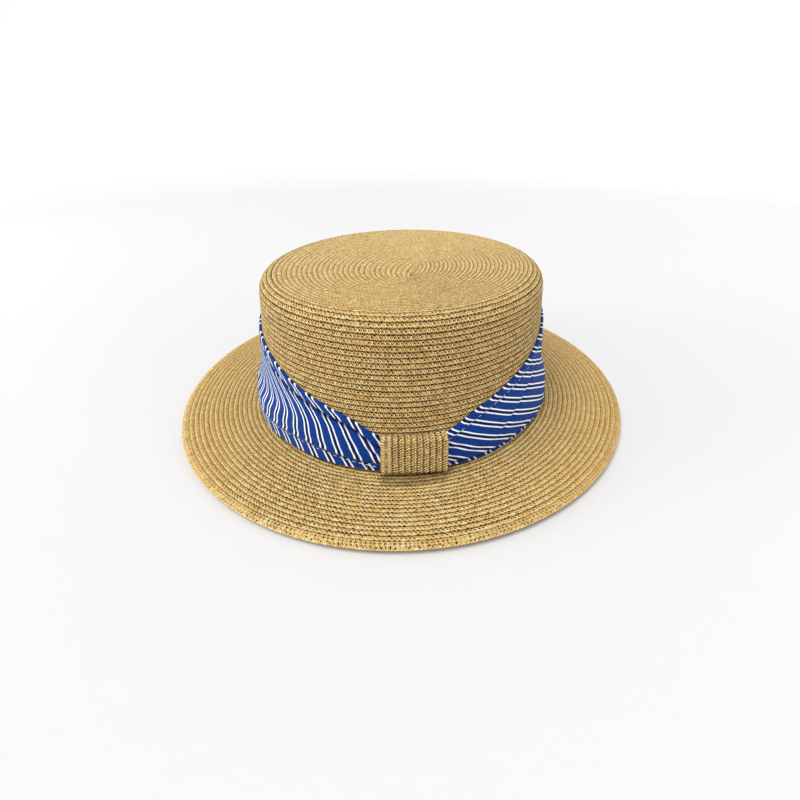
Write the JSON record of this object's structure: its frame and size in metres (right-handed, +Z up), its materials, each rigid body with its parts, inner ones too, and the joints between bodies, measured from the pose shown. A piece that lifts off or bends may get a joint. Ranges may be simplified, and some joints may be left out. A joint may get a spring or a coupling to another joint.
{
  "type": "straw boater hat",
  "caption": "Oval straw hat with a flat-topped crown and a flat brim, banded by a striped folded scarf held at the front by a braid loop.",
  "frame": {"origin": "on the surface the hat lies on, under the middle of its outline", "axes": "+Z up through the tip, Y along the oval's long way with the front at -Y, X across it"},
  "size_m": [0.2748, 0.298, 0.0837],
  "materials": {
    "straw_braid": "sewn golden straw braid, matt with fine glints",
    "loop_braid": "the same straw braid laid upright",
    "scarf_cloth": "matt blue cotton with paired thin white stripes"
  },
  "bodies": {
    "root": {"crown": "straw_braid", "brim": "straw_braid", "scarf_band": "scarf_cloth", "braid_loop": "loop_braid"}
  },
  "joints": []
}
